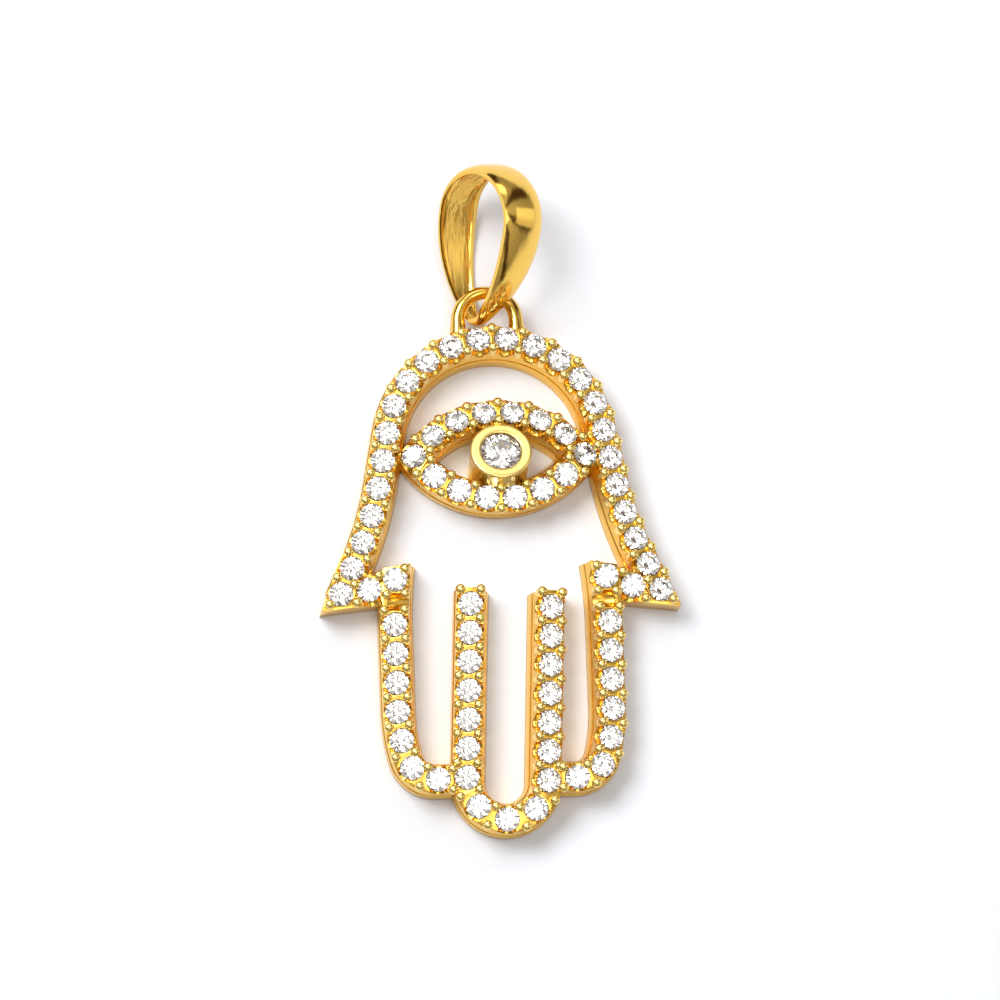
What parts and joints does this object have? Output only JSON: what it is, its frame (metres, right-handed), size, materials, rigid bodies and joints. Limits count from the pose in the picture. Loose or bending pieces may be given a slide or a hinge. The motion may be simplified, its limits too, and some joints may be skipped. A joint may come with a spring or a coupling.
{
  "type": "hamsa pendant",
  "caption": "Openwork hand pendant in yellow gold with pave bands of round stones, an eye with a bezel-set stone, a wire loop and a drop-shaped bail.",
  "frame": {"origin": "on the flat back, under the crown of the arch, where the wire loop is soldered on", "axes": "+Y from the fingers to the bail, +X to the right and +Z out of the stones' side"},
  "size_m": [0.0148, 0.0277, 0.0048],
  "materials": {
    "gold": "polished yellow gold",
    "stone": "faceted clear stone"
  },
  "bodies": {
    "root": {"hand_frame": "gold", "bail": "gold", "hand_stones": "stone", "middle_stones": "stone", "eye_stones": "stone", "centre_stone": "stone"}
  },
  "joints": []
}
